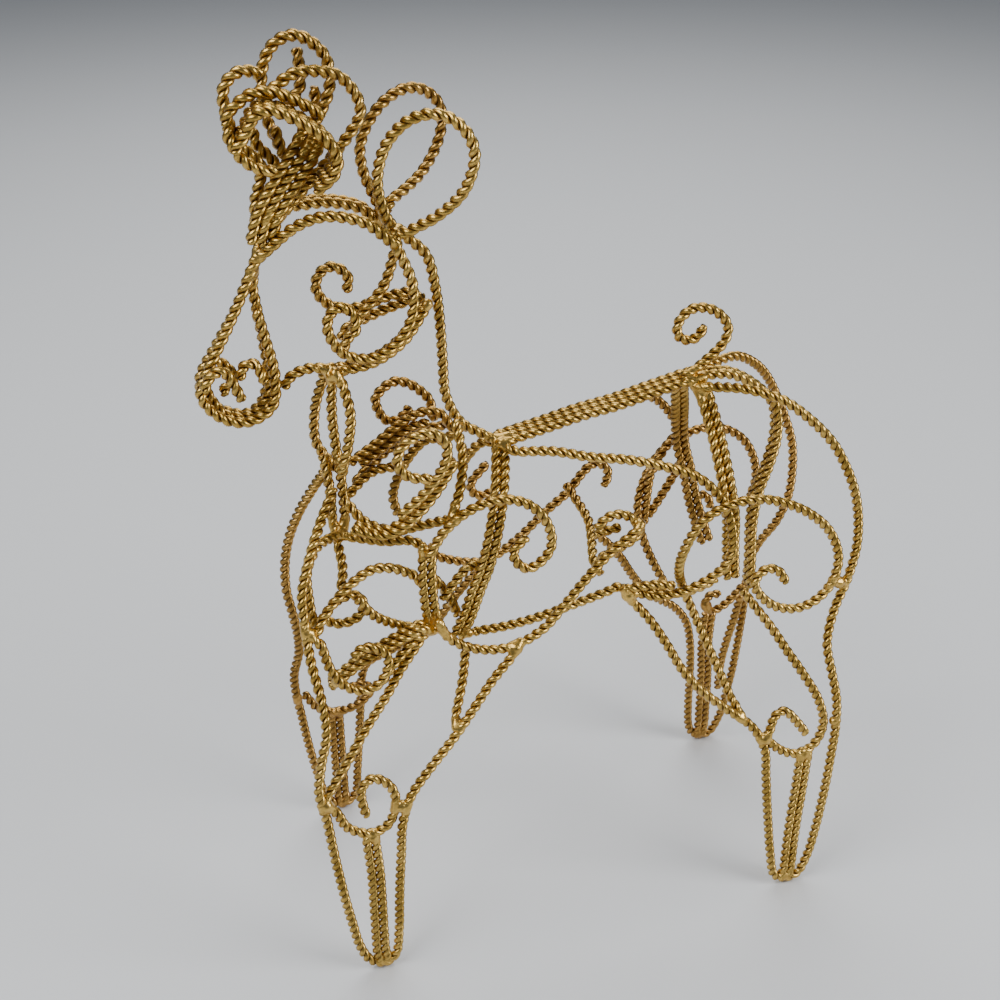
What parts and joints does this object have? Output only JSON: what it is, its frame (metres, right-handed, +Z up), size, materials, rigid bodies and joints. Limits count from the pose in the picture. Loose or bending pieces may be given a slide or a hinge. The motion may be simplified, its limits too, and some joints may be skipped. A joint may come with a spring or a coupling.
{
  "type": "reindeer figure",
  "caption": "Standing reindeer bent from twisted two-strand gilt rope, open scrollwork body, looped antlers and ears, curled tail.",
  "frame": {"origin": "centre of the bounding box at floor level", "axes": "+Z up, the head points along -X, the side shown in the picture is -Y"},
  "size_m": [0.2856, 0.1169, 0.4195],
  "materials": {
    "gilt_rope": "gilt twisted rope, rubbed bright on the crowns, brown patina in the grooves"
  },
  "bodies": {
    "root": {"antler_band": "gilt_rope", "antler_left": "gilt_rope", "antler_right": "gilt_rope", "antler_stem": "gilt_rope", "antler_tip_long": "gilt_rope", "antler_tip_short": "gilt_rope", "antler_top": "gilt_rope", "arch_far": "gilt_rope", "belly_far": "gilt_rope", "belly_lower": "gilt_rope", "belly_upper": "gilt_rope", "body_strut": "gilt_rope", "brisket_arch": "gilt_rope", "brow_lower": "gilt_rope", "brow_upper": "gilt_rope", "cheek_far": "gilt_rope", "cheek_near": "gilt_rope", "chest_bar": "gilt_rope", "chest_cup": "gilt_rope", "chest_tie": "gilt_rope", "collar_lower": "gilt_rope", "collar_upper": "gilt_rope", "ear_far": "gilt_rope", "ear_near": "gilt_rope", "flank_far": "gilt_rope", "flank_near": "gilt_rope", "forehead": "gilt_rope", "front_far": "gilt_rope", "front_far_shank": "gilt_rope", "front_near": "gilt_rope", "front_near_inner": "gilt_rope", "front_near_shank": "gilt_rope", "haunch_far": "gilt_rope", "haunch_near": "gilt_rope", "hind_far": "gilt_rope", "hind_far_shank": "gilt_rope", "hind_near": "gilt_rope", "hind_near_shank": "gilt_rope", "hip_far": "gilt_rope", "hip_near": "gilt_rope", "jaw_band": "gilt_rope", "jaw_far": "gilt_rope", "jaw_mid": "gilt_rope", "jaw_near": "gilt_rope", "knee_near": "gilt_rope", "muzzle_arch": "gilt_rope", "muzzle_far": "gilt_rope", "neck_back": "gilt_rope", "neck_front_mid": "gilt_rope", "neck_scroll": "gilt_rope", "rump_mid": "gilt_rope", "shoulder_arch": "gilt_rope", "shoulder_bundle": "gilt_rope", "shoulder_column": "gilt_rope", "shoulder_inner": "gilt_rope", "shoulder_ring": "gilt_rope", "spine": "gilt_rope", "tail": "gilt_rope", "withers_column": "gilt_rope", "withers_side": "gilt_rope"}
  },
  "joints": []
}
